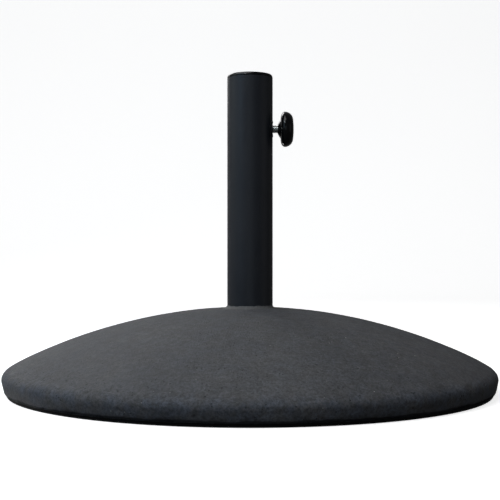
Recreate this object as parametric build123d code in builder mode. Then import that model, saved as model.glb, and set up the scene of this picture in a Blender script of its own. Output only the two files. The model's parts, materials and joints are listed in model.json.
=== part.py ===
"""Parasol base: a cast concrete dome with a steel pole socket and a hand-operated clamp screw.

Millimetres.  +Z is up along the pole socket, the clamp screw points along +X, and the
origin is the centre of the footprint on the ground.
"""
import math
import os

from build123d import *

# Feet and moulded tray
PAD_COUNT = 6
PAD_RADIUS = 18.0
PAD_THICKNESS = 1.9
PAD_PITCH_RADIUS = 190.0
PAD_EDGE = 0.3
PAD_RECESS_CLEARANCE = 0.5
TRAY_RADIUS = 235.5
TRAY_UNDERSIDE_Z = 0.4
TRAY_FLOOR_Z = 2.7
TRAY_RIM_Z = 3.7
TRAY_RIM_WALL = 2.2
TRAY_EDGE = 0.5
KEY_RINGS = ((110.0, 6, 30.0), (205.0, 12, 15.0))  # pitch radius, count, first angle
KEY_STEM_RADIUS = 4.0
KEY_HEAD_RADIUS = 6.5
KEY_HEAD_Z = 11.5
KEY_TOP_Z = 15.0

# Concrete weight
CROWN_Z = 81.4  # where the dome would meet the socket's axis
DOME_RADIUS = 515.0
SKIRT_RADIUS = 237.9
SKIRT_DRAFT = 12.0
SHOULDER_RADIUS = 11.0
FOOT_FILLET_WIDTH = 4.0
FOOT_FILLET_HEIGHT = 3.2

# Pole socket
TUBE_RADIUS = 22.5
TUBE_WALL = 2.0
TUBE_BORE = TUBE_RADIUS - TUBE_WALL
TUBE_FOOT_Z = 10.0
TOTAL_HEIGHT = 311.5
COLLAR_FLANGE = 3.5
COLLAR_RADIUS = 22.4
COLLAR_BORE = 19.5
COLLAR_OUTER_ROUND = 2.4
COLLAR_INNER_ROUND = 0.4
COLLAR_SLEEVE_Z = 282.0
COLLAR_SLEEVE_RADIUS = 20.3
CRUSH_RIB_COUNT = 8
CRUSH_RIB_RADIUS = 0.6
CRUSH_RIB_LENGTH = 20.0
TUBE_TOP_Z = TOTAL_HEIGHT - COLLAR_FLANGE
STOP_SKIRT_Z = 40.0
STOP_DISC_Z = 50.0
STOP_TOP_Z = 54.0
STOP_SKIRT_WALL = 2.0
STOP_EDGE = 1.0

# Reinforcement cast into the concrete
ROD_RADIUS = 4.0
ROD_LENGTH = 360.0
ROD_X_Z = 18.0
ROD_Y_Z = 27.0
HOOP_RADIUS = 160.0
HOOP_WIRE_RADIUS = 3.0
HOOP_Z = ROD_Y_Z + ROD_RADIUS + HOOP_WIRE_RADIUS
TIE_WIRE_RADIUS = 0.8
TIE_CLEARANCE = 0.3

# Clamp screw, its bush and its knob, all on one axis across the tube
CLAMP_Z = 257.5
BUSH_RADIUS = 7.5
BUSH_INNER_X = 19.7
BUSH_OUTER_X = 22.45
BUSH_BORE = 4.0
SCREW_RADIUS = 3.95
SCREW_TIP_X = 20.8
SCREW_TIP_CHAMFER = 0.5
SCREW_HOLE_LEAD = 0.3
HEAD_ACROSS_FLATS = 13.0
HEAD_INNER_X = 35.5
HEAD_OUTER_X = 40.8
THRUST_HEAD_X = 19.8
THRUST_HEAD_RADIUS = 3.7
THRUST_HEAD_CHAMFER = 0.3
THRUST_STEM_RADIUS = 1.5
THRUST_BEAD_RADIUS = 1.75
THRUST_BEAD_X = (24.0, 24.2, 24.8)  # start, full radius from and to
THRUST_STEM_X = 25.8
THRUST_STEM_END_RADIUS = 1.1
THRUST_FIT = 0.05
THRUST_POCKET_X = (23.8, 26.2)
THRUST_POCKET_RADIUS = 1.85
KNOB_NOSE_X = 27.5
KNOB_NOSE_RADIUS = 4.5
KNOB_HUB_X = 29.6
KNOB_HUB_RADIUS = 8.3
KNOB_GROOVE = ((30.4, 9.0), (32.4, 9.4), (32.4, 10.1), (30.7, 10.4))  # along the axis, radius
KNOB_BACK_X = 30.5
KNOB_BACK_RADIUS = 11.0
KNOB_WIDE_X = 34.6
KNOB_RADIUS = 17.4
KNOB_FACE_X = 43.3
KNOB_FACE_RADIUS = 80.0
KNOB_FACE_ROUND = 8.0

CLAMP_PLANE = Plane(origin=(0, 0, CLAMP_Z), x_dir=(1, 0, 0), z_dir=(0, -1, 0))
CLAMP_AXIS = Axis((0, 0, CLAMP_Z), (1, 0, 0))
DOME_CENTRE_Z = CROWN_Z - DOME_RADIUS


def dome_z(radius):
    """Height of the dome's surface at a distance from the socket's axis."""
    return DOME_CENTRE_Z + math.sqrt(DOME_RADIUS**2 - radius**2)


def upright(radius, height, mode=Mode.ADD):
    """Vertical cylinder that stands on each active location."""
    Cylinder(radius, height, align=(Align.CENTER, Align.CENTER, Align.MIN), mode=mode)


def tray_keys():
    """Headed pegs that rise from the tray's floor into the concrete."""
    for pitch_radius, count, first_angle in KEY_RINGS:
        for radius, z_low, z_high in (
            (KEY_STEM_RADIUS, TRAY_FLOOR_Z, KEY_HEAD_Z),
            (KEY_HEAD_RADIUS, KEY_HEAD_Z, KEY_TOP_Z),
        ):
            with Locations((0, 0, z_low)):
                with PolarLocations(pitch_radius, count, start_angle=first_angle):
                    upright(radius, z_high - z_low)


# Rubber pads stuck into the tray's underside
with BuildPart() as foot_pads:
    with PolarLocations(PAD_PITCH_RADIUS, PAD_COUNT):
        upright(PAD_RADIUS, PAD_THICKNESS)
    fillet(foot_pads.edges().group_by(Axis.Z)[0], PAD_EDGE)

# Moulded tray: shallow rimmed pan with pad recesses below and keying pegs above
with BuildPart() as base_tray:
    with BuildSketch(Plane.XZ):
        with BuildLine():
            Polyline(
                (0, TRAY_UNDERSIDE_Z),
                (TRAY_RADIUS - TRAY_EDGE, TRAY_UNDERSIDE_Z),
                (TRAY_RADIUS, TRAY_UNDERSIDE_Z + TRAY_EDGE),
                (TRAY_RADIUS, TRAY_RIM_Z),
                (TRAY_RADIUS - TRAY_RIM_WALL, TRAY_RIM_Z),
                (TRAY_RADIUS - TRAY_RIM_WALL, TRAY_FLOOR_Z),
                (0, TRAY_FLOOR_Z),
                close=True,
            )
        make_face()
    revolve(axis=Axis.Z)
    with PolarLocations(PAD_PITCH_RADIUS, PAD_COUNT):
        upright(PAD_RADIUS + PAD_RECESS_CLEARANCE, PAD_THICKNESS, Mode.SUBTRACT)
    tray_keys()

# Anchor rods driven through the tube's foot, one over the other
with BuildPart() as anchor_rod_x:
    with Locations(Location((0, 0, ROD_X_Z), (0, 90, 0))):
        Cylinder(ROD_RADIUS, ROD_LENGTH)

with BuildPart() as anchor_rod_y:
    with Locations(Location((0, 0, ROD_Y_Z), (90, 0, 0))):
        Cylinder(ROD_RADIUS, ROD_LENGTH)

# Hoop resting on the upper rod
with BuildPart() as reinforcing_hoop:
    with Locations((0, 0, HOOP_Z)):
        Torus(HOOP_RADIUS, HOOP_WIRE_RADIUS)

# Wire loops that tie the hoop to the rods, each set at 45 degrees across a crossing
with BuildPart() as tie_wires:
    half_width = math.sqrt(2) * (ROD_RADIUS + TIE_CLEARANCE + TIE_WIRE_RADIUS)
    for angle, rod_z in ((0, ROD_X_Z), (90, ROD_Y_Z), (180, ROD_X_Z), (270, ROD_Y_Z)):
        crossing = Vector(HOOP_RADIUS, 0, rod_z).rotate(Axis.Z, angle)
        across = Vector(1, 1, 0).rotate(Axis.Z, angle)
        normal = Vector(1, -1, 0).rotate(Axis.Z, angle)
        rise = HOOP_Z - rod_z
        with BuildLine(Plane(origin=crossing, x_dir=across, z_dir=normal)) as loop:
            Line((-half_width, 0), (-half_width, rise))
            ThreePointArc((-half_width, rise), (0, rise + half_width), (half_width, rise))
            Line((half_width, rise), (half_width, 0))
            ThreePointArc((half_width, 0), (0, -half_width), (-half_width, 0))
        with BuildSketch(Plane(origin=loop.wire() @ 0, z_dir=loop.wire() % 0)):
            Circle(TIE_WIRE_RADIUS)
        sweep(path=loop.wire())

# Steel socket tube with a round cut-out for the bush and cross holes for the rods
with BuildPart() as socket_tube:
    with BuildSketch(Plane.XY.offset(TUBE_FOOT_Z)):
        Circle(TUBE_RADIUS)
        Circle(TUBE_BORE, mode=Mode.SUBTRACT)
    extrude(amount=TUBE_TOP_Z - TUBE_FOOT_Z)
    add([anchor_rod_x.part, anchor_rod_y.part], mode=Mode.SUBTRACT)
    with BuildSketch(Plane.YZ):
        with Locations((0, CLAMP_Z)):
            Circle(BUSH_RADIUS)
    extrude(amount=2 * TUBE_RADIUS, mode=Mode.SUBTRACT)

# Bush welded into the tube's wall for the clamp screw
with BuildPart() as threaded_bush:
    with BuildSketch(Plane.YZ.offset(BUSH_INNER_X)):
        with Locations((0, CLAMP_Z)):
            Circle(BUSH_RADIUS)
            Circle(BUSH_BORE, mode=Mode.SUBTRACT)
    extrude(amount=BUSH_OUTER_X - BUSH_INNER_X)

# Push-in collar that lines the tube's mouth
with BuildPart() as tube_collar:
    with BuildSketch(Plane.XZ):
        with BuildLine():
            Polyline(
                (COLLAR_BORE, COLLAR_SLEEVE_Z),
                (COLLAR_SLEEVE_RADIUS, COLLAR_SLEEVE_Z),
                (COLLAR_SLEEVE_RADIUS, TUBE_TOP_Z),
                (COLLAR_RADIUS, TUBE_TOP_Z),
                (COLLAR_RADIUS, TOTAL_HEIGHT),
                (COLLAR_BORE, TOTAL_HEIGHT),
                close=True,
            )
        flange_face = make_face()
        top_corners = flange_face.vertices().group_by(Axis.Z)[-1].sort_by(Axis.X)
        fillet(top_corners[-1], COLLAR_OUTER_ROUND)
        fillet(top_corners[0], COLLAR_INNER_ROUND)
    revolve(axis=Axis.Z)
    with Locations((0, 0, TUBE_TOP_Z - CRUSH_RIB_LENGTH)):
        with PolarLocations(TUBE_BORE - CRUSH_RIB_RADIUS, CRUSH_RIB_COUNT):
            upright(CRUSH_RIB_RADIUS, CRUSH_RIB_LENGTH)

# Cap-shaped plug that closes the tube over the concrete and stops the pole
with BuildPart() as pole_stop:
    with Locations((0, 0, STOP_SKIRT_Z)):
        upright(TUBE_BORE, STOP_TOP_Z - STOP_SKIRT_Z)
        upright(TUBE_BORE - STOP_SKIRT_WALL, STOP_DISC_Z - STOP_SKIRT_Z, Mode.SUBTRACT)
    fillet(pole_stop.edges().group_by(Axis.Z)[-1], STOP_EDGE)

# Concrete dome, cast around the tube's foot, the rods, the hoop and the tray's pegs
with BuildPart() as concrete_weight:
    with BuildSketch(Plane.XZ) as dome_profile:
        with BuildLine():
            skirt_top_radius = SKIRT_RADIUS + (dome_z(SKIRT_RADIUS) - TRAY_RIM_Z) * math.tan(
                math.radians(SKIRT_DRAFT)
            )
            corner_z = dome_z(skirt_top_radius)
            fillet_edge_radius = TUBE_RADIUS + FOOT_FILLET_WIDTH
            fillet_top_z = dome_z(fillet_edge_radius) + FOOT_FILLET_HEIGHT
            Polyline(
                (0, TRAY_FLOOR_Z),
                (TRAY_RADIUS - TRAY_RIM_WALL, TRAY_FLOOR_Z),
                (TRAY_RADIUS - TRAY_RIM_WALL, TRAY_RIM_Z),
                (SKIRT_RADIUS, TRAY_RIM_Z),
                (skirt_top_radius, corner_z),
            )
            middle_radius = (skirt_top_radius + fillet_edge_radius) / 2
            ThreePointArc(
                (skirt_top_radius, corner_z),
                (middle_radius, dome_z(middle_radius)),
                (fillet_edge_radius, dome_z(fillet_edge_radius)),
            )
            EllipticalCenterArc(
                (fillet_edge_radius, fillet_top_z),
                FOOT_FILLET_WIDTH,
                FOOT_FILLET_HEIGHT,
                start_angle=180,
                arc_size=90,
            )
            Polyline((TUBE_RADIUS, fillet_top_z), (0, fillet_top_z), (0, TRAY_FLOOR_Z))
        make_face()
        shoulder = dome_profile.vertices().sort_by(Axis.X)[-1]
        fillet(shoulder, SHOULDER_RADIUS)
    revolve(axis=Axis.Z)
    with Locations((0, 0, STOP_DISC_Z)):
        upright(TUBE_RADIUS, CROWN_Z, Mode.SUBTRACT)
    for embedded in (
        base_tray,
        socket_tube,
        pole_stop,
        anchor_rod_x,
        anchor_rod_y,
        reinforcing_hoop,
        tie_wires,
    ):
        add(embedded.part, mode=Mode.SUBTRACT)

# Clamp screw: hexagon-headed, drilled at the tip for the thrust pad's stem
with BuildPart() as clamp_screw:
    with BuildSketch(CLAMP_PLANE):
        with BuildLine():
            Polyline(
                (SCREW_TIP_X, THRUST_STEM_RADIUS + THRUST_FIT),
                (SCREW_TIP_X, SCREW_RADIUS - SCREW_TIP_CHAMFER),
                (SCREW_TIP_X + SCREW_TIP_CHAMFER, SCREW_RADIUS),
                (HEAD_INNER_X, SCREW_RADIUS),
                (HEAD_INNER_X, 0),
                (THRUST_POCKET_X[1], 0),
                (THRUST_POCKET_X[1], THRUST_POCKET_RADIUS),
                (THRUST_POCKET_X[0], THRUST_POCKET_RADIUS),
                (THRUST_POCKET_X[0] - SCREW_HOLE_LEAD, THRUST_STEM_RADIUS + THRUST_FIT),
                close=True,
            )
        make_face()
    revolve(axis=CLAMP_AXIS)
    with BuildSketch(Plane.YZ.offset(HEAD_INNER_X)):
        with Locations((0, CLAMP_Z)):
            RegularPolygon(HEAD_ACROSS_FLATS / 2, 6, major_radius=False)
    extrude(amount=HEAD_OUTER_X - HEAD_INNER_X)

# Knob moulded over the screw's head: domed face, rolled rim, conical hub inside a groove
with BuildPart() as clamp_knob:
    with BuildSketch(CLAMP_PLANE):
        with BuildLine():
            Polyline(
                (KNOB_FACE_X, 0),
                (KNOB_NOSE_X, 0),
                (KNOB_NOSE_X, KNOB_NOSE_RADIUS),
                (KNOB_HUB_X, KNOB_HUB_RADIUS),
                *KNOB_GROOVE,
                (KNOB_BACK_X, KNOB_BACK_RADIUS),
            )
            EllipticalCenterArc(
                (KNOB_WIDE_X, KNOB_BACK_RADIUS),
                KNOB_WIDE_X - KNOB_BACK_X,
                KNOB_RADIUS - KNOB_BACK_RADIUS,
                start_angle=90,
                arc_size=90,
            )
            face_centre_x = KNOB_FACE_X - KNOB_FACE_RADIUS
            round_centre_z = KNOB_RADIUS - KNOB_FACE_ROUND
            round_reach = KNOB_FACE_RADIUS - KNOB_FACE_ROUND
            round_centre_x = face_centre_x + math.sqrt(round_reach**2 - round_centre_z**2)
            face_half_angle = math.degrees(math.asin(round_centre_z / round_reach))
            Line((KNOB_WIDE_X, KNOB_RADIUS), (round_centre_x, KNOB_RADIUS))
            CenterArc(
                (round_centre_x, round_centre_z), KNOB_FACE_ROUND, 90, face_half_angle - 90
            )
            CenterArc((face_centre_x, 0), KNOB_FACE_RADIUS, face_half_angle, -face_half_angle)
        make_face()
    revolve(axis=CLAMP_AXIS)
    add(clamp_screw.part, mode=Mode.SUBTRACT)

# Plastic thrust pad that snaps into the screw's tip and bears on the pole
with BuildPart() as thrust_pad:
    with BuildSketch(CLAMP_PLANE):
        with BuildLine():
            Polyline(
                (THRUST_HEAD_X, 0),
                (THRUST_HEAD_X, THRUST_HEAD_RADIUS - THRUST_HEAD_CHAMFER),
                (THRUST_HEAD_X + THRUST_HEAD_CHAMFER, THRUST_HEAD_RADIUS),
                (SCREW_TIP_X - THRUST_FIT, THRUST_HEAD_RADIUS),
                (SCREW_TIP_X - THRUST_FIT, THRUST_STEM_RADIUS),
                (THRUST_BEAD_X[0], THRUST_STEM_RADIUS),
                (THRUST_BEAD_X[1], THRUST_BEAD_RADIUS),
                (THRUST_BEAD_X[2], THRUST_BEAD_RADIUS),
                (THRUST_STEM_X, THRUST_STEM_END_RADIUS),
                (THRUST_STEM_X, 0),
                close=True,
            )
        make_face()
    revolve(axis=CLAMP_AXIS)

os.makedirs("parts", exist_ok=True)

concrete_weight.part.label = "concrete_weight"
base_tray.part.label = "base_tray"
foot_pads.part.label = "foot_pads"
socket_tube.part.label = "socket_tube"
tube_collar.part.label = "tube_collar"
pole_stop.part.label = "pole_stop"
anchor_rod_x.part.label = "anchor_rod_x"
anchor_rod_y.part.label = "anchor_rod_y"
reinforcing_hoop.part.label = "reinforcing_hoop"
tie_wires.part.label = "tie_wires"
threaded_bush.part.label = "threaded_bush"
clamp_screw.part.label = "clamp_screw"
clamp_knob.part.label = "clamp_knob"
thrust_pad.part.label = "thrust_pad"

export_step(concrete_weight.part, "parts/concrete_weight.step")
export_step(base_tray.part, "parts/base_tray.step")
export_step(foot_pads.part, "parts/foot_pads.step")
export_step(socket_tube.part, "parts/socket_tube.step")
export_step(tube_collar.part, "parts/tube_collar.step")
export_step(pole_stop.part, "parts/pole_stop.step")
export_step(anchor_rod_x.part, "parts/anchor_rod_x.step")
export_step(anchor_rod_y.part, "parts/anchor_rod_y.step")
export_step(reinforcing_hoop.part, "parts/reinforcing_hoop.step")
export_step(tie_wires.part, "parts/tie_wires.step")
export_step(threaded_bush.part, "parts/threaded_bush.step")
export_step(clamp_screw.part, "parts/clamp_screw.step")
export_step(clamp_knob.part, "parts/clamp_knob.step")
export_step(thrust_pad.part, "parts/thrust_pad.step")
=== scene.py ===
"""Looks of the parasol base: detailed visible pieces, procedural materials, floor, light and camera.

Metres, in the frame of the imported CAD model: +Z up the pole socket, +X along the clamp screw.
"""

import json
import math

import bmesh
import bpy
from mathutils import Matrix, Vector, noise


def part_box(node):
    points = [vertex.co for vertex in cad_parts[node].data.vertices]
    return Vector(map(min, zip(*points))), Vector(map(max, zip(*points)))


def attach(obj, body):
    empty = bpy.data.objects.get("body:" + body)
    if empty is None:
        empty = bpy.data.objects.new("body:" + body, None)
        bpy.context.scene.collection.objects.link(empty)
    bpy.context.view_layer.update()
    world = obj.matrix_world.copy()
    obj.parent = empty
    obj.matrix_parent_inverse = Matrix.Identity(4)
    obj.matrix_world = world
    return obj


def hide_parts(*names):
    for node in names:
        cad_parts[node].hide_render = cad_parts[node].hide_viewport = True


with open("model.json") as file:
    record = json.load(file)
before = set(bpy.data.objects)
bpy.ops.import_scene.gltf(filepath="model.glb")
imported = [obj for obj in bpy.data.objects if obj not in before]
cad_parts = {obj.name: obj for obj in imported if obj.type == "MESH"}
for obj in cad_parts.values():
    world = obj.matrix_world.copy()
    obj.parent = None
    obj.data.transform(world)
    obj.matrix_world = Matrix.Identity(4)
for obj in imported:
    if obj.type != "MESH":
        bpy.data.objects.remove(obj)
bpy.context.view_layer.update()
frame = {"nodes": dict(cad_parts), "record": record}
NODES = frame["nodes"]
MM = 0.001

# ---------------------------------------------------------------- geometry helpers


def mesh_object(name, bm, material, smooth_angle=40.0):
    """New object from a bmesh, with edges sharper than smooth_angle kept crisp."""
    bmesh.ops.remove_doubles(bm, verts=bm.verts, dist=1e-7)
    bmesh.ops.recalc_face_normals(bm, faces=bm.faces)
    for face in bm.faces:
        face.smooth = True
    for edge in bm.edges:
        if len(edge.link_faces) == 2:
            edge.smooth = edge.calc_face_angle() < math.radians(smooth_angle)
    data = bpy.data.meshes.new(name)
    bm.to_mesh(data)
    bm.free()
    data.materials.append(material)
    piece = bpy.data.objects.new(name, data)
    bpy.context.collection.objects.link(piece)
    return piece


def bridge(bm, ring_a, ring_b):
    """Faces between two closed rings; the second may have a whole number of times as many points."""
    if len(ring_a) > len(ring_b):
        ring_a, ring_b = ring_b, ring_a
    count, step = len(ring_a), len(ring_b) // len(ring_a)
    for k in range(count):
        a0, a1 = ring_a[k], ring_a[(k + 1) % count]
        if step == 1:
            bm.faces.new((a0, a1, ring_b[(k + 1) % count], ring_b[k]))
            continue
        fan = [ring_b[(step * k + j) % len(ring_b)] for j in range(step + 1)]
        half = step // 2
        for j in range(half):
            bm.faces.new((a0, fan[j + 1], fan[j]))
        bm.faces.new((a0, a1, fan[half + 1], fan[half]))
        for j in range(half + 1, step):
            bm.faces.new((a1, fan[j + 1], fan[j]))


def about_z(radius, angle, height):
    """Point at a distance from the socket's axis and an angle round it."""
    return Vector((radius * math.cos(angle), radius * math.sin(angle), height))


def arc(cx, cy, rx, ry, start, end, count):
    """Points along an elliptical arc, angles in degrees, both ends included."""
    points = []
    for k in range(count + 1):
        a = math.radians(start + (end - start) * k / count)
        points.append((cx + rx * math.cos(a), cy + ry * math.sin(a)))
    return points


# ---------------------------------------------------------------- material helpers


class Shader:
    """A Principled material and short ways of adding nodes to it."""

    def __init__(self, name, roughness=0.5, metallic=0.0, specular=0.5):
        self.material = bpy.data.materials.new(name)
        self.material.use_nodes = True
        self.tree = self.material.node_tree
        self.bsdf = self.tree.nodes["Principled BSDF"]
        self.bsdf.inputs["Roughness"].default_value = roughness
        self.bsdf.inputs["Metallic"].default_value = metallic
        self.bsdf.inputs["Specular IOR Level"].default_value = specular
        self.coords = self.node("ShaderNodeTexCoord").outputs["Object"]

    def node(self, kind, **settings):
        made = self.tree.nodes.new(kind)
        for key, value in settings.items():
            setattr(made, key, value)
        return made

    def link(self, source, target):
        self.tree.links.new(source, target)

    def noise(self, scale, detail=4.0, roughness=0.55, stretch=None):
        tex = self.node("ShaderNodeTexNoise")
        tex.inputs["Scale"].default_value = scale
        tex.inputs["Detail"].default_value = detail
        tex.inputs["Roughness"].default_value = roughness
        self.link(self.stretched(stretch), tex.inputs["Vector"])
        return tex.outputs["Fac"]

    def stretched(self, stretch):
        if stretch is None:
            return self.coords
        mapping = self.node("ShaderNodeMapping")
        mapping.inputs["Scale"].default_value = stretch
        self.link(self.coords, mapping.inputs["Vector"])
        return mapping.outputs["Vector"]

    def cells(self, scale):
        """Distance from the nearest of many scattered points."""
        tex = self.node("ShaderNodeTexVoronoi")
        tex.inputs["Scale"].default_value = scale
        self.link(self.coords, tex.inputs["Vector"])
        return tex.outputs["Distance"]

    def ramp(self, value, low, high, to_low=0.0, to_high=1.0):
        """Smooth step of a value between two limits."""
        made = self.node("ShaderNodeMapRange", interpolation_type="SMOOTHSTEP")
        for socket, number in (
            ("From Min", low),
            ("From Max", high),
            ("To Min", to_low),
            ("To Max", to_high),
        ):
            made.inputs[socket].default_value = number
        self.link(value, made.inputs["Value"])
        return made.outputs["Result"]

    def math(self, operation, a, b=None):
        made = self.node("ShaderNodeMath", operation=operation)
        for socket, value in zip(made.inputs, (a, b)):
            if value is None:
                continue
            if isinstance(value, (int, float)):
                socket.default_value = value
            else:
                self.link(value, socket)
        return made.outputs[0]

    def mix(self, factor, a, b, blend="MIX"):
        """Colour mix; a and b are colours or sockets."""
        made = self.node("ShaderNodeMix", data_type="RGBA", blend_type=blend)
        for socket, value in ((made.inputs[0], factor), (made.inputs[6], a), (made.inputs[7], b)):
            if isinstance(value, (int, float)):
                socket.default_value = value
            elif isinstance(value, tuple):
                socket.default_value = (*value, 1.0)
            else:
                self.link(value, socket)
        return made.outputs[2]

    def axes(self):
        """The shaded point's X, Y and Z in the model's frame."""
        made = self.node("ShaderNodeSeparateXYZ")
        self.link(self.coords, made.inputs[0])
        return made.outputs

    def radius_from_axis(self):
        """Distance of the shaded point from the socket's axis."""
        x, y, _ = self.axes()
        squares = self.math("ADD", self.math("MULTIPLY", x, x), self.math("MULTIPLY", y, y))
        return self.math("SQRT", squares)

    def bump(self, height, strength, distance):
        made = self.node("ShaderNodeBump")
        made.inputs["Strength"].default_value = strength
        made.inputs["Distance"].default_value = distance
        self.link(height, made.inputs["Height"])
        return made.outputs["Normal"]

    def finish(self, colour, roughness, normal):
        for socket, value in (("Base Color", colour), ("Roughness", roughness), ("Normal", normal)):
            self.link(value, self.bsdf.inputs[socket])
        return self.material


def concrete_material():
    """Dark dyed concrete: sandy grain, painted bluish light on the side wall, a dirt stain low down,
    painted shade along the bottom edge, pale specks and air pores painted dark as shade.
    """
    s = Shader("cast_concrete", roughness=0.72, specular=0.38)
    height_above_floor = s.axes()[2]
    clouds = s.ramp(s.noise(9.0, 3.0), 0.30, 0.70)
    colour = s.mix(clouds, (0.070, 0.0715, 0.078), (0.083, 0.083, 0.0875))
    sand = s.noise(430.0, 4.0, 0.8)
    for value, low, high, dark, light in (
        (s.noise(42.0, 5.0, 0.6), 0.32, 0.68, 0.93, 1.05),
        (s.noise(150.0, 4.0, 0.65), 0.30, 0.70, 0.84, 1.15),
        (sand, 0.32, 0.68, 0.55, 1.42),
    ):
        colour = s.mix(1.0, colour, s.ramp(value, low, high, dark, light), "MULTIPLY")
    hue = s.mix(s.ramp(s.noise(75.0, 3.0, 0.6), 0.35, 0.65), (1.04, 1.0, 0.94), (0.90, 1.0, 1.16))
    side = s.ramp(height_above_floor, 0.018, 0.026, 0.70, 0.25)
    colour = s.mix(side, colour, s.mix(1.0, colour, hue, "MULTIPLY"))
    splash = s.ramp(height_above_floor, 0.005, 0.015, 0.20, 0.0)
    stain = s.math("MULTIPLY", splash, s.ramp(s.noise(28.0, 4.0), 0.3, 0.6))
    colour = s.mix(stain, colour, (0.026, 0.027, 0.031))
    # Painted light: the side wall is made lighter and bluer than the dome, standing in for the bluish
    # light that reaches it.
    side_blue_light_paint = s.ramp(height_above_floor, 0.018, 0.026, 0.90, 0.0)
    colour = s.mix(side_blue_light_paint, colour, s.mix(1.0, colour, (1.08, 1.11, 1.15), "MULTIPLY"))
    # Painted shade: a near-black band with a wandering upper line along the bottom edge stands in for the
    # shade under the lip.
    wander = s.ramp(s.noise(60.0, 4.0), 0.3, 0.7, -0.0006, 0.0006)
    edge = s.ramp(s.math("ADD", height_above_floor, wander), 0.0050, 0.0064, 0.9, 0.0)
    colour = s.mix(edge, colour, (0.010, 0.011, 0.014))
    speck_mask = s.ramp(s.cells(330.0), 0.12, 0.20, 1.0, 0.0)
    sparse = s.ramp(s.noise(240.0, 1.0), 0.71, 0.74)
    colour = s.mix(s.math("MULTIPLY", speck_mask, sparse), colour, (0.40, 0.40, 0.39))
    pores = s.ramp(s.cells(260.0), 0.12, 0.24, 1.0, 0.0)
    pore_mask = s.math("MULTIPLY", pores, s.ramp(s.noise(55.0, 2.0), 0.48, 0.62))
    # Painted shade: the air pores are painted near black, standing in for the shade inside the holes.
    colour = s.mix(s.math("MULTIPLY", pore_mask, 0.85), colour, (0.012, 0.013, 0.016))
    mortar = s.ramp(s.radius_from_axis(), 0.0262, 0.0295, 1.0, 0.0)
    colour = s.mix(s.math("MULTIPLY", mortar, 0.45), colour, (0.150, 0.148, 0.140))
    grit = s.math("ADD", sand, s.math("MULTIPLY", s.noise(1500.0, 2.0), 0.2))
    height = s.math("SUBTRACT", grit, s.math("MULTIPLY", pore_mask, 1.2))
    rough = s.ramp(sand, 0.3, 0.7, 0.62, 0.85)
    return s.finish(colour, rough, s.bump(height, 0.7, 0.0011))


def powder_coat_material():
    """Satin anthracite coat with a fine orange peel and a little dust."""
    s = Shader("powder_coat", roughness=0.42)
    clouds = s.ramp(s.noise(14.0, 3.0), 0.3, 0.7)
    colour = s.mix(clouds, (0.0163, 0.0196, 0.0268), (0.0203, 0.0232, 0.0305))
    peel = s.noise(900.0, 2.0, 0.6)
    dust = s.math("MULTIPLY", s.ramp(s.noise(160.0, 6.0, 0.7), 0.58, 0.8), 0.25)
    colour = s.mix(dust, colour, (0.060, 0.061, 0.062))
    rough = s.ramp(s.noise(30.0, 4.0), 0.3, 0.7, 0.36, 0.47)
    return s.finish(colour, rough, s.bump(peel, 0.25, 0.00012))


def gloss_plastic_material():
    """Glossy black moulding with fine scuffs across the clamp's axis."""
    s = Shader("gloss_black_plastic", roughness=0.12, specular=0.34)
    clouds = s.ramp(s.noise(90.0, 4.0), 0.3, 0.7)
    colour = s.mix(clouds, (0.0040, 0.0042, 0.0050), (0.0065, 0.0068, 0.0078))
    scuffs = s.ramp(s.noise(420.0, 6.0, 0.75, (1.0, 4.0, 4.0)), 0.60, 0.78)
    colour = s.mix(s.math("MULTIPLY", scuffs, 0.3), colour, (0.05, 0.05, 0.05))
    polish = s.ramp(s.noise(60.0, 4.0), 0.3, 0.7, 0.05, 0.10)
    rough = s.math("ADD", polish, s.math("MULTIPLY", scuffs, 0.25))
    return s.finish(colour, rough, s.bump(s.noise(300.0, 2.0), 0.12, 0.0001))


def moulding_material():
    """Matte black moulding, slightly dusty."""
    s = Shader("matte_black_moulding", roughness=0.7, specular=0.25)
    clouds = s.ramp(s.noise(35.0, 4.0), 0.3, 0.7)
    colour = s.mix(clouds, (0.0030, 0.0030, 0.0034), (0.0060, 0.0060, 0.0064))
    dust = s.math("MULTIPLY", s.ramp(s.noise(220.0, 6.0, 0.7), 0.56, 0.78), 0.12)
    colour = s.mix(dust, colour, (0.045, 0.044, 0.043))
    grain = s.noise(1400.0, 2.0)
    return s.finish(colour, s.ramp(grain, 0.3, 0.7, 0.6, 0.8), s.bump(grain, 0.4, 0.0001))


def rubber_material():
    s = Shader("black_rubber", roughness=0.85)
    colour = s.mix(s.ramp(s.noise(60.0, 5.0), 0.3, 0.7), (0.011, 0.011, 0.011), (0.020, 0.019, 0.018))
    grain = s.noise(1800.0, 3.0)
    return s.finish(colour, s.ramp(grain, 0.3, 0.7, 0.75, 0.92), s.bump(grain, 0.5, 0.0001))


def zinc_material():
    """Bright zinc plate with faint greenish staining."""
    s = Shader("bright_zinc", roughness=0.28, metallic=1.0)
    colour = s.mix(s.ramp(s.noise(300.0, 4.0), 0.3, 0.7), (0.78, 0.82, 0.82), (0.88, 0.90, 0.88))
    stain = s.math("MULTIPLY", s.ramp(s.noise(700.0, 5.0), 0.55, 0.75), 0.35)
    colour = s.mix(stain, colour, (0.40, 0.44, 0.40))
    rough = s.ramp(s.noise(900.0, 3.0), 0.3, 0.7, 0.15, 0.28)
    return s.finish(colour, rough, s.bump(s.noise(2500.0, 2.0), 0.15, 0.00005))


def bar_material():
    s = Shader("drawn_steel_bar", roughness=0.45, metallic=1.0)
    colour = s.mix(s.ramp(s.noise(120.0, 5.0), 0.3, 0.7), (0.34, 0.32, 0.30), (0.22, 0.19, 0.17))
    rough = s.ramp(s.noise(300.0, 4.0), 0.3, 0.7, 0.38, 0.6)
    return s.finish(colour, rough, s.bump(s.noise(900.0, 3.0), 0.2, 0.0001))


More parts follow.
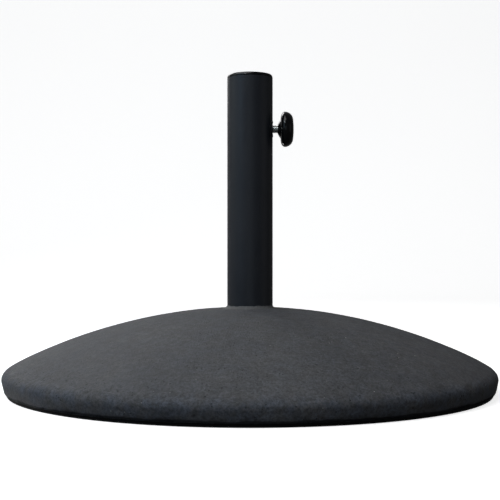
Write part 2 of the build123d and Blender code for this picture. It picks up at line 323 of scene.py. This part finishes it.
def nylon_material():
    s = Shader("natural_nylon", roughness=0.5)
    colour = s.mix(s.ramp(s.noise(400.0, 4.0), 0.3, 0.7), (0.70, 0.68, 0.62), (0.80, 0.79, 0.74))
    rough = s.ramp(s.noise(900.0, 3.0), 0.3, 0.7, 0.42, 0.58)
    return s.finish(colour, rough, s.bump(s.noise(2000.0, 2.0), 0.1, 0.00005))


MATERIALS = {
    "cast_concrete": concrete_material(),
    "powder_coated_steel": powder_coat_material(),
    "glossy_black_plastic": gloss_plastic_material(),
    "black_moulding": moulding_material(),
    "black_rubber": rubber_material(),
    "zinc_plated_steel": zinc_material(),
    "bare_steel": bar_material(),
    "white_nylon": nylon_material(),
}
SLOT_OF = {s["node"]: s["material_slot"] for s in frame["record"]["subparts"]}
for node_name, cad_node in NODES.items():
    cad_node.data.materials.clear()
    cad_node.data.materials.append(MATERIALS[SLOT_OF[node_name]])

# ---------------------------------------------------------------- concrete casting

tube_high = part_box("socket_tube")[1]
TUBE_R = tube_high.x
CAST_TOP_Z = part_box("concrete_weight")[1].z - 0.1 * MM
CAST_FLOOR_Z = 2.75 * MM
DOME_R = 515 * MM
CROWN_Z = 81.4 * MM  # where the dome would meet the socket's axis
SKIRT_R = 237.9 * MM
SKIRT_DRAFT = 12  # degrees
SHOULDER_R = 11 * MM
RIM_Z = 3.7 * MM
RIM_SEAT_R = 234.0 * MM
RIM_INNER_R = 233.4 * MM
LIP_ROUND = 0.7 * MM
LIP_TOP_Z = RIM_Z + 3 * MM
FOOT_R = TUBE_R + 4.0 * MM
FOOT_START_R = TUBE_R + 0.15 * MM
FOOT_CURVE = 2.2
HIDDEN_R = TUBE_R - 0.2 * MM

INNER_SEGMENTS = 360
OUTER_SEGMENTS = 3 * INNER_SEGMENTS
FINE_FROM_R = 205 * MM
FOOT_STEPS, DOME_STEPS, EDGE_STEPS, SHOULDER_STEPS, SIDE_STEPS, LIP_STEPS = 8, 50, 14, 17, 27, 4


def dome_z(radius):
    """Height of the dome's nominal surface."""
    return CROWN_Z - DOME_R + math.sqrt(DOME_R**2 - radius**2)


def shoulder_start():
    """Where the shoulder's arc leaves the dome, and the arc's centre, tangent to the drafted side."""
    draft = math.radians(SKIRT_DRAFT)
    low_r, high_r = SKIRT_R - 3 * SHOULDER_R, SKIRT_R
    for _ in range(60):
        r = (low_r + high_r) / 2
        slope = math.asin(r / DOME_R)
        centre_r = r - SHOULDER_R * math.sin(slope)
        centre_z = dome_z(r) - SHOULDER_R * math.cos(slope)
        reach = (SKIRT_R - centre_r) * math.cos(draft) + (centre_z - RIM_Z) * math.sin(draft)
        if reach > SHOULDER_R:
            low_r = r
        else:
            high_r = r
    return r, math.degrees(slope), centre_r, centre_z


def casting_profile():
    """Closed section of the casting, from the tube outwards, down the side and back underneath."""
    foot_z = dome_z(FOOT_R)
    points = [(HIDDEN_R, CAST_TOP_Z)]
    for k in range(FOOT_STEPS + 1):
        t = k / FOOT_STEPS
        r = FOOT_START_R + (FOOT_R - TUBE_R) * t
        points.append((r, foot_z + (CAST_TOP_Z - foot_z) * (1 - t) ** FOOT_CURVE))
    tangent_r, slope, centre_r, centre_z = shoulder_start()
    stretches = ((FOOT_R, FINE_FROM_R, DOME_STEPS), (FINE_FROM_R, tangent_r, EDGE_STEPS))
    for start_r, end_r, count in stretches:
        for k in range(1, count + 1):
            r = start_r + (end_r - start_r) * k / count
            points.append((r, dome_z(r)))
    shoulder = arc(centre_r, centre_z, SHOULDER_R, SHOULDER_R, 90 - slope, -SKIRT_DRAFT, SHOULDER_STEPS)
    points += shoulder[1:]
    side_r, side_z = points[-1]
    lip_z = RIM_Z + LIP_ROUND
    for k in range(1, SIDE_STEPS):
        t = k / SIDE_STEPS
        points.append((side_r + (SKIRT_R - side_r) * t, side_z + (lip_z - side_z) * t))
    points += arc(SKIRT_R - LIP_ROUND, lip_z, LIP_ROUND, LIP_ROUND, -SKIRT_DRAFT, -90, LIP_STEPS)
    points += [(RIM_SEAT_R, RIM_Z), (RIM_INNER_R, CAST_FLOOR_Z), (HIDDEN_R, CAST_FLOOR_Z)]
    return points


# Departures of the cast surface from its nominal shape.  A wave is a frequency per metre
# and a depth in mm; the other depths are in mm too.
SKIN = 0.16
SKIN_WAVES = ((14, 0.22), (45, 0.12), (140, 0.05))
MORTAR_WIDTH = 9 * MM
MORTAR_BASE = 0.25
MORTAR_WAVES = ((260, 0.55), (600, 0.30))
WEAR_RUN_IN = 22 * MM
GRAIN_WAVE = (330, 0.10)
SHOULDER_WEAR, SHOULDER_WEAR_Z, SHOULDER_WEAR_BAND = 0.65, 24 * MM, 4 * MM
SHOULDER_CHIPS, CHIP_WAVES = 1.5, ((85, 1.0), (240, 0.45))
LIP_WEAR, LIP_WEAR_BAND = 0.9, 2.6 * MM
LIP_SWING, LIP_SWING_FREQUENCY, LIP_SWING_OFFSET = 1.6, 9, 3.7
LIP_CHIPS, LIP_CHIP_FREQUENCY = 2.0, 75
CHIP_LEVEL = 0.10  # noise below this leaves no chip
LAYER_DEPTH, LAYER_FREQUENCY, LAYER_FREQUENCY_Z = 0.25, 40, 160
PIT_DEPTH, PIT_FREQUENCY, PIT_REACH = 0.75, 130, 0.24
PIT_PICK, PIT_LEVEL = 57.3, 0.72  # only cells whose random value is over the level have a pit


def waves(point, terms):
    """Sum of noise waves at a point."""
    return sum(depth * noise.noise(point * frequency) for frequency, depth in terms)


def bell(height, centre, band):
    """Weight that falls away from a height on both sides."""
    return math.exp(-(((height - centre) / band) ** 2))


def outer_wear(point, radius, height):
    """Wear, chips, grit and air holes of the shoulder, the side and the lip, in mm."""
    worn = min(1.0, (radius - FINE_FROM_R) / WEAR_RUN_IN)
    depth = worn * waves(point, (GRAIN_WAVE,))
    chips = max(0.0, waves(point, CHIP_WAVES) - CHIP_LEVEL)
    shoulder = bell(height, SHOULDER_WEAR_Z, SHOULDER_WEAR_BAND)
    depth += shoulder * (SHOULDER_WEAR + SHOULDER_CHIPS * chips)
    swing_x = point.x * LIP_SWING_FREQUENCY + LIP_SWING_OFFSET
    swing = noise.noise(Vector((swing_x, point.y * LIP_SWING_FREQUENCY, 0.0)))
    lip_chips = max(0.0, noise.noise(point * LIP_CHIP_FREQUENCY) - CHIP_LEVEL)
    lip = bell(height, RIM_Z, LIP_WEAR_BAND)
    depth += lip * (LIP_WEAR + LIP_SWING * swing + LIP_CHIPS * lip_chips)
    layered = Vector((point.x * LAYER_FREQUENCY, point.y * LAYER_FREQUENCY, point.z * LAYER_FREQUENCY_Z))
    depth += LAYER_DEPTH * worn * noise.noise(layered)
    distances, centres = noise.voronoi(point * PIT_FREQUENCY)
    if noise.cell(centres[0] * PIT_PICK) > PIT_LEVEL:
        depth += PIT_DEPTH * worn * max(0.0, 1 - (distances[0] / PIT_REACH) ** 2)
    return depth


def relief(point, radius, height):
    """How far the cast surface lies inside its nominal shape."""
    depth = SKIN + waves(point, SKIN_WAVES)
    if radius < TUBE_R + MORTAR_WIDTH:
        mortar = 1 - (radius - TUBE_R) / MORTAR_WIDTH
        depth += mortar * (MORTAR_BASE + waves(point, MORTAR_WAVES))
    if radius > FINE_FROM_R:
        depth += outer_wear(point, radius, height)
    return max(0.0, depth) * MM


def casting_mesh():
    """The section turned about the socket's axis, with finer divisions round the shoulder and side."""
    profile = casting_profile()
    bm = bmesh.new()
    rings = []
    for i, (radius, height) in enumerate(profile):
        before, after = profile[max(i - 1, 0)], profile[min(i + 1, len(profile) - 1)]
        tangent = Vector((after[0] - before[0], after[1] - before[1])).normalized()
        cast = radius > HIDDEN_R and height > RIM_Z
        segments = OUTER_SEGMENTS if radius > FINE_FROM_R + 1 * MM else INNER_SEGMENTS
        ring = []
        for k in range(segments):
            angle = 2 * math.pi * k / segments
            r, z = radius, height
            if cast:
                depth = relief(about_z(radius, angle, height), radius, height)
                if height < LIP_TOP_Z:
                    r = radius - depth
                else:
                    r, z = radius + tangent.y * depth, height - tangent.x * depth
            ring.append(bm.verts.new(about_z(r, angle, z)))
        rings.append(ring)
    for ring_a, ring_b in zip(rings, rings[1:] + rings[:1]):
        bridge(bm, ring_a, ring_b)
    return bm


casting = mesh_object("concrete_casting", casting_mesh(), MATERIALS["cast_concrete"], 60)
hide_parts("concrete_weight")
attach(casting, "stand")

# ---------------------------------------------------------------- collar in the tube's mouth

collar_low, collar_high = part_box("tube_collar")
COLLAR_R = collar_high.x
COLLAR_ROUND_STEPS, COLLAR_ROLL_STEPS = 4, 16
COLLAR_BORE = 19.5 * MM
COLLAR_SLEEVE_R = 20.3 * MM
COLLAR_SEGMENTS = 192
SEAM_HEIGHT = 0.45 * MM
SEAM_DEPTH = 0.9 * MM
FLANGE_ROUND = 0.15 * MM
COLLAR_EDGE_ROUND = 0.4 * MM
ROLL_HEIGHT = 2.85 * MM


def collar_mesh():
    """Sleeve and flange: a fine seam over the tube's end, then the flange rolls over into the mouth."""
    seam_z = tube_high.z
    neck_r, flange_z = COLLAR_R - SEAM_DEPTH, seam_z + SEAM_HEIGHT
    profile = [(COLLAR_BORE, collar_low.z), (COLLAR_SLEEVE_R, collar_low.z), (COLLAR_SLEEVE_R, seam_z)]
    profile += [(neck_r, seam_z), (neck_r, flange_z)]
    lower_r, lower_z = COLLAR_R - FLANGE_ROUND, flange_z + FLANGE_ROUND
    profile += arc(lower_r, lower_z, FLANGE_ROUND, FLANGE_ROUND, -90, 0, COLLAR_ROUND_STEPS)
    roll_w = COLLAR_R - COLLAR_BORE - COLLAR_EDGE_ROUND
    roll_z = collar_high.z - ROLL_HEIGHT
    profile += arc(COLLAR_R - roll_w, roll_z, roll_w, ROLL_HEIGHT, 0, 90, COLLAR_ROLL_STEPS)
    edge_r, edge_z = COLLAR_BORE + COLLAR_EDGE_ROUND, collar_high.z - COLLAR_EDGE_ROUND
    edge = arc(edge_r, edge_z, COLLAR_EDGE_ROUND, COLLAR_EDGE_ROUND, 90, 180, COLLAR_ROUND_STEPS)
    profile += edge[1:]
    bm = bmesh.new()
    rings = []
    for radius, z in profile:
        turns = (2 * math.pi * k / COLLAR_SEGMENTS for k in range(COLLAR_SEGMENTS))
        rings.append([bm.verts.new(about_z(radius, turn, z)) for turn in turns])
    for ring_a, ring_b in zip(rings, rings[1:] + rings[:1]):
        bridge(bm, ring_a, ring_b)
    return bm


collar = mesh_object("mouth_collar", collar_mesh(), MATERIALS["glossy_black_plastic"], 35)
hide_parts("tube_collar")
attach(collar, "stand")

# ---------------------------------------------------------------- clamp screw with its thread

knob_low, knob_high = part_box("clamp_knob")
CLAMP_Z = (knob_low.z + knob_high.z) / 2
PITCH = 1.25 * MM
THREAD_MAJOR = 3.95 * MM
THREAD_MINOR = 3.30 * MM
THREAD_CREST_HALF = 0.12  # widths along the thread, as shares of the pitch
THREAD_FLANK = 0.30
SCREW_TIP_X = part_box("clamp_screw")[0].x
SCREW_END_X = knob_low.x + 7.0 * MM  # inside the knob
SCREW_LEAD_IN = 0.9 * MM
SCREW_SEGMENTS, STEPS_PER_PITCH = 48, 10
TIP_HOLE_R, TIP_HOLE_DEPTH = 1.56 * MM, 4.0 * MM


def thread_height(phase):
    """Height of the thread's profile, from 0 at the root to 1 on the crest."""
    phase %= 1.0
    from_crest = min(phase, 1 - phase) - THREAD_CREST_HALF
    return 1 - min(1.0, max(0.0, from_crest / THREAD_FLANK))


def thread_radii(x):
    """Radii round the shank at a place along it; the thread rises from nothing over the lead-in."""
    rise = (THREAD_MAJOR - THREAD_MINOR) * min(1.0, (x - SCREW_TIP_X) / SCREW_LEAD_IN)
    turns = (k / SCREW_SEGMENTS for k in range(SCREW_SEGMENTS))
    return [THREAD_MINOR + rise * thread_height(x / PITCH - turn) for turn in turns]


def clamp_ring(bm, x, radii):
    """Ring of points about the clamp's axis, one for each radius."""
    ring = []
    for k, r in enumerate(radii):
        angle = 2 * math.pi * k / len(radii)
        ring.append(bm.verts.new((x, -r * math.sin(angle), CLAMP_Z + r * math.cos(angle))))
    return ring


def threaded_screw():
    """Right-handed threaded shank, drilled at the tip, with its end inside the knob."""
    bm = bmesh.new()
    length = SCREW_END_X - SCREW_TIP_X
    steps = int(length / PITCH * STEPS_PER_PITCH)
    hole = [TIP_HOLE_R] * SCREW_SEGMENTS
    rings = [clamp_ring(bm, SCREW_TIP_X + TIP_HOLE_DEPTH, hole), clamp_ring(bm, SCREW_TIP_X, hole)]
    for i in range(steps + 1):
        x = SCREW_TIP_X + length * i / steps
        rings.append(clamp_ring(bm, x, thread_radii(x)))
    for ring_a, ring_b in zip(rings, rings[1:]):
        bridge(bm, ring_a, ring_b)
    bm.faces.new(rings[0])
    bm.faces.new(rings[-1])
    return bm


screw = mesh_object("threaded_clamp_screw", threaded_screw(), MATERIALS["zinc_plated_steel"], 50)
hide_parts("clamp_screw")
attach(screw, "clamp")

# ---------------------------------------------------------------- weld round the bush


BUSH_OUTER_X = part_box("threaded_bush")[1].x
WELD_RING_R = 7.5 * MM
WELD_BEAD_R = 0.55 * MM
WELD_SEGMENTS, WELD_SIDES = 160, 12
WELD_RIPPLES, WELD_RIPPLE_SIZE, WELD_UNEVENNESS = 26, 0.16, 0.12


def weld_bead():
    """Rippled bead that follows the saddle between the round bush and the round tube."""
    bm = bmesh.new()
    rings = []
    for i in range(WELD_SEGMENTS):
        a = 2 * math.pi * i / WELD_SEGMENTS
        y, z = WELD_RING_R * math.cos(a), CLAMP_Z + WELD_RING_R * math.sin(a)
        x = min(math.sqrt(TUBE_R**2 - y**2) + 0.1 * MM, BUSH_OUTER_X - 0.2 * MM)
        ripple = 1 + WELD_RIPPLE_SIZE * math.sin(WELD_RIPPLES * a)
        ripple += WELD_UNEVENNESS * noise.noise(Vector((math.cos(a), math.sin(a), 0)) * 3)
        out, along = Vector((0, math.cos(a), math.sin(a))), Vector((1, 0, 0))
        ring = []
        for k in range(WELD_SIDES):
            b = 2 * math.pi * k / WELD_SIDES
            offset = (out * math.cos(b) + along * math.sin(b)) * WELD_BEAD_R * ripple
            ring.append(bm.verts.new(Vector((x, y, z)) + offset))
        rings.append(ring)
    for ring_a, ring_b in zip(rings, rings[1:] + rings[:1]):
        bridge(bm, ring_a, ring_b)
    return bm


weld = mesh_object("bush_weld", weld_bead(), MATERIALS["powder_coated_steel"], 80)
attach(weld, "stand")

# ---------------------------------------------------------------- floor, light, camera


FLOOR_HALF_WIDTH = 6.0
FLOOR_FRONT_Y = -6.0
FLOOR_BACK_Y = 3.0
SWEEP_R = 1.0
SWEEP_STEPS = 24
SWEEP_TOP_Z = 5.0
FLOOR_GLOW = 0.78  # seen by the camera only


def stage_floor():
    """Seamless pale floor that curves up behind; it sends little light back on to the object."""
    bm = bmesh.new()
    sweep_y = FLOOR_BACK_Y - SWEEP_R
    strip = [(FLOOR_FRONT_Y, 0.0)]
    strip += [(sweep_y + y, z) for y, z in arc(0, SWEEP_R, SWEEP_R, SWEEP_R, -90, 0, SWEEP_STEPS)]
    strip.append((FLOOR_BACK_Y, SWEEP_TOP_Z))
    rows = [[bm.verts.new((x, y, z)) for x in (-FLOOR_HALF_WIDTH, FLOOR_HALF_WIDTH)] for y, z in strip]
    for a, b in zip(rows, rows[1:]):
        bm.faces.new((a[0], a[1], b[1], b[0]))
    s = Shader("studio_floor", roughness=0.9, specular=0.1)
    tone = s.mix(s.noise(3.0, 2.0), (0.86, 0.86, 0.86), (0.88, 0.88, 0.88))
    seen = s.node("ShaderNodeLightPath").outputs["Is Camera Ray"]
    s.link(s.mix(seen, (0.16, 0.16, 0.16), tone), s.bsdf.inputs["Base Color"])
    s.bsdf.inputs["Emission Color"].default_value = (1.0, 1.0, 1.0, 1.0)
    s.link(s.math("MULTIPLY", seen, FLOOR_GLOW), s.bsdf.inputs["Emission Strength"])
    floor = mesh_object("studio_floor", bm, s.material, 80)
    floor.visible_glossy = False


stage_floor()


LIGHT_TARGET = Vector((0.0, 0.0, 0.1))
LIGHT_DISTANCE = 2.2


def area_light(name, azimuth, elevation, size, power, colour=(1.0, 1.0, 1.0)):
    """Panel aimed at the object; azimuth is measured from the front towards the left, in degrees."""
    a, e = math.radians(azimuth), math.radians(elevation)
    towards = Vector((-math.sin(a) * math.cos(e), -math.cos(a) * math.cos(e), math.sin(e)))
    data = bpy.data.lights.new(name, "AREA")
    data.shape = "RECTANGLE"
    data.size, data.size_y = size
    data.energy = power
    data.color = colour
    lamp = bpy.data.objects.new(name, data)
    lamp.location = LIGHT_TARGET + towards * LIGHT_DISTANCE
    lamp.visible_camera = False
    lamp.rotation_euler = (-towards).to_track_quat("-Z", "Y").to_euler()
    bpy.context.collection.objects.link(lamp)


area_light("overhead_softbox", 54, 63, (2.4, 1.8), 31.0)
area_light("window", 30, 44, (0.22, 0.22), 3.4, (0.78, 0.90, 1.0))
area_light("back_left_panel", 146, 30, (0.7, 1.3), 3.4)
area_light("left_panel", 90, 25, (1.0, 1.4), 2.8, (0.85, 1.0, 1.0))
area_light("front_left_panel", 52, 27, (1.2, 1.6), 4.6, (0.52, 0.76, 1.0))
area_light("front_panel", 0, 8, (1.2, 1.0), 1.1, (0.75, 0.9, 1.0))
area_light("right_panel", 285, 8, (1.0, 1.4), 0.6)


BACKDROP = 0.86  # strength seen by the camera
BRIGHT_WALL = (-0.55, 0.83, 0.1)  # direction of the less dim side of the room
WALL_SPREAD, WALL_STRENGTH = (0.1, 0.9), (0.06, 0.18)
GLINTS = (((-0.384, 0.77, 0.505), 3.4), ((-0.585, 0.67, -0.453), 3.8))  # direction, strength
GLINT_SPREAD = (0.966, 0.986)


def studio_world():
    """A dim room, less dim behind, plus two glints that only glossy rays see; pale to the camera."""
    world = bpy.data.worlds.new("studio")
    bpy.context.scene.world = world
    world.use_nodes = True
    tree = world.node_tree
    tree.nodes.clear()

    def add(kind, **settings):
        made = tree.nodes.new(kind)
        for key, value in settings.items():
            setattr(made, key, value)
        return made

    direction = add("ShaderNodeTexCoord").outputs["Generated"]
    ray = add("ShaderNodeLightPath").outputs

    def patch(towards, spread, strength):
        """Strength that rises smoothly as the ray turns towards a direction."""
        facing = add("ShaderNodeVectorMath", operation="DOT_PRODUCT")
        facing.inputs[1].default_value = Vector(towards).normalized()
        tree.links.new(direction, facing.inputs[0])
        made = add("ShaderNodeMapRange", interpolation_type="SMOOTHSTEP")
        limits = zip(("From Min", "From Max", "To Min", "To Max"), (*spread, *strength))
        for socket, number in limits:
            made.inputs[socket].default_value = number
        tree.links.new(facing.outputs["Value"], made.inputs["Value"])
        return made.outputs["Result"]

    total = patch(BRIGHT_WALL, WALL_SPREAD, WALL_STRENGTH)
    for towards, strength in GLINTS:
        summed = add("ShaderNodeMath", operation="MULTIPLY_ADD")
        terms = (patch(towards, GLINT_SPREAD, (0.0, strength)), ray["Is Glossy Ray"], total)
        for term, socket in zip(terms, summed.inputs):
            tree.links.new(term, socket)
        total = summed.outputs[0]
    room, backdrop = add("ShaderNodeBackground"), add("ShaderNodeBackground")
    tree.links.new(total, room.inputs["Strength"])
    backdrop.inputs["Strength"].default_value = BACKDROP
    for shade in (room, backdrop):
        shade.inputs["Color"].default_value = (1.0, 1.0, 1.0, 1.0)
    mixed = add("ShaderNodeMixShader")
    for source, socket in zip((ray["Is Camera Ray"], room.outputs[0], backdrop.outputs[0]), mixed.inputs):
        tree.links.new(source, socket)
    tree.links.new(mixed.outputs[0], add("ShaderNodeOutputWorld").inputs["Surface"])


studio_world()

CAMERA_DISTANCE = 1.050
CAMERA_Z = 0.1356
camera_data = bpy.data.cameras.new("camera")
camera_data.sensor_width = 36.0
camera_data.lens = 76.25
camera_data.shift_y = 0.0046
camera_data.clip_end = 50.0
camera = bpy.data.objects.new("camera", camera_data)
camera.location = (0.0, -CAMERA_DISTANCE, CAMERA_Z)
camera.rotation_euler = (math.radians(90), 0.0, 0.0)
bpy.context.collection.objects.link(camera)
bpy.context.scene.camera = camera
bpy.context.scene.view_settings.view_transform = "Standard"
